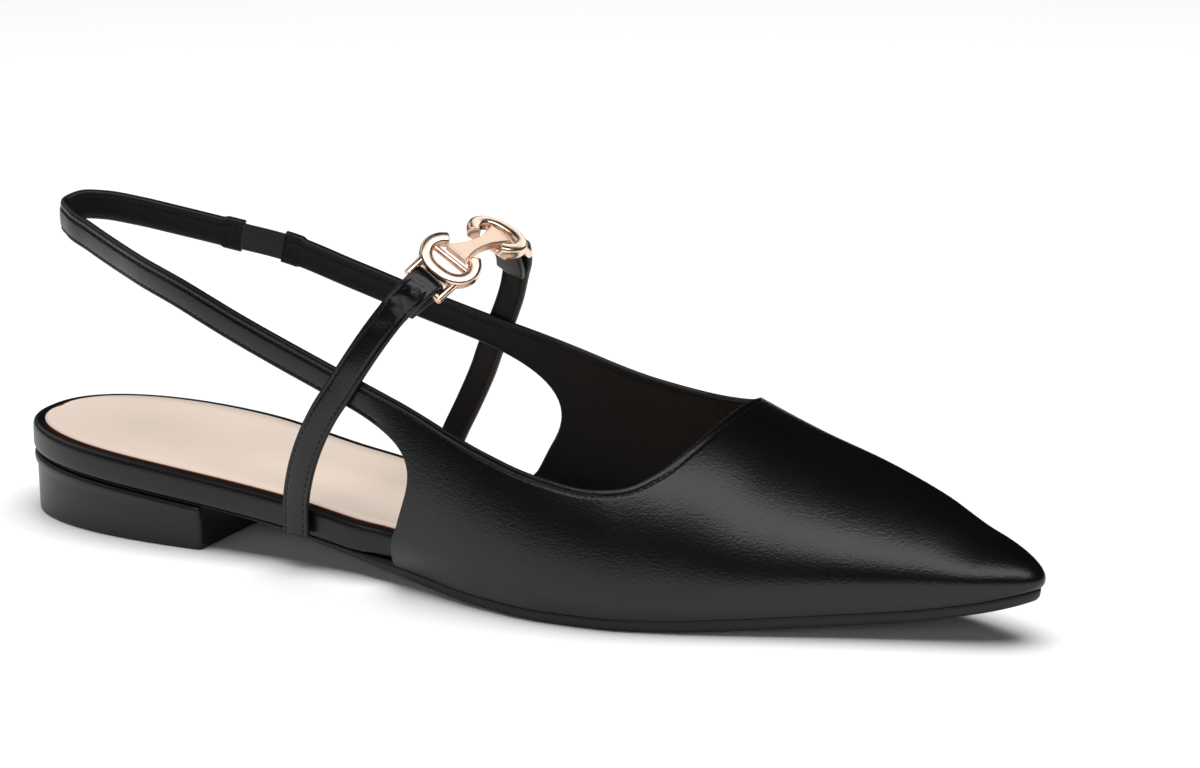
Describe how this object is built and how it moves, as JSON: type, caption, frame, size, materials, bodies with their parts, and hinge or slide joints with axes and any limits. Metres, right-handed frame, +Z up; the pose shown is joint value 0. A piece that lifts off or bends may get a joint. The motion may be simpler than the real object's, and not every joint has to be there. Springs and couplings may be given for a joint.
{
  "type": "slingback sandal",
  "caption": "Pointed flat slingback sandal in black leather, open at heel and waist, its instep straps joined by a polished metal clasp, with a beige sock and a low block heel.",
  "frame": {"origin": "middle of the shoe's box, on the floor it stands on", "axes": "+X from heel to toe, +Y to the inner (medial) side of the foot, +Z up"},
  "size_m": [0.2648, 0.0764, 0.0804],
  "materials": {
    "outsole": "matte black sole sheet with a painted edge",
    "heel_block": "satin black stacked heel",
    "footbed": "black leather wrapped round a board",
    "insole_sock": "matte beige lining leather",
    "upper": "smooth black calf with a soft gloss",
    "sling_elastic": "matte ribbed elastic",
    "clasp": "polished rose gold plating"
  },
  "bodies": {
    "root": {"outsole": "outsole", "heel_block": "heel_block", "footbed": "footbed", "insole_sock": "insole_sock", "upper": "upper", "sling_elastic": "sling_elastic", "bit_link_lateral": "clasp", "bit_link_medial": "clasp", "bit_plate": "clasp"}
  },
  "joints": []
}
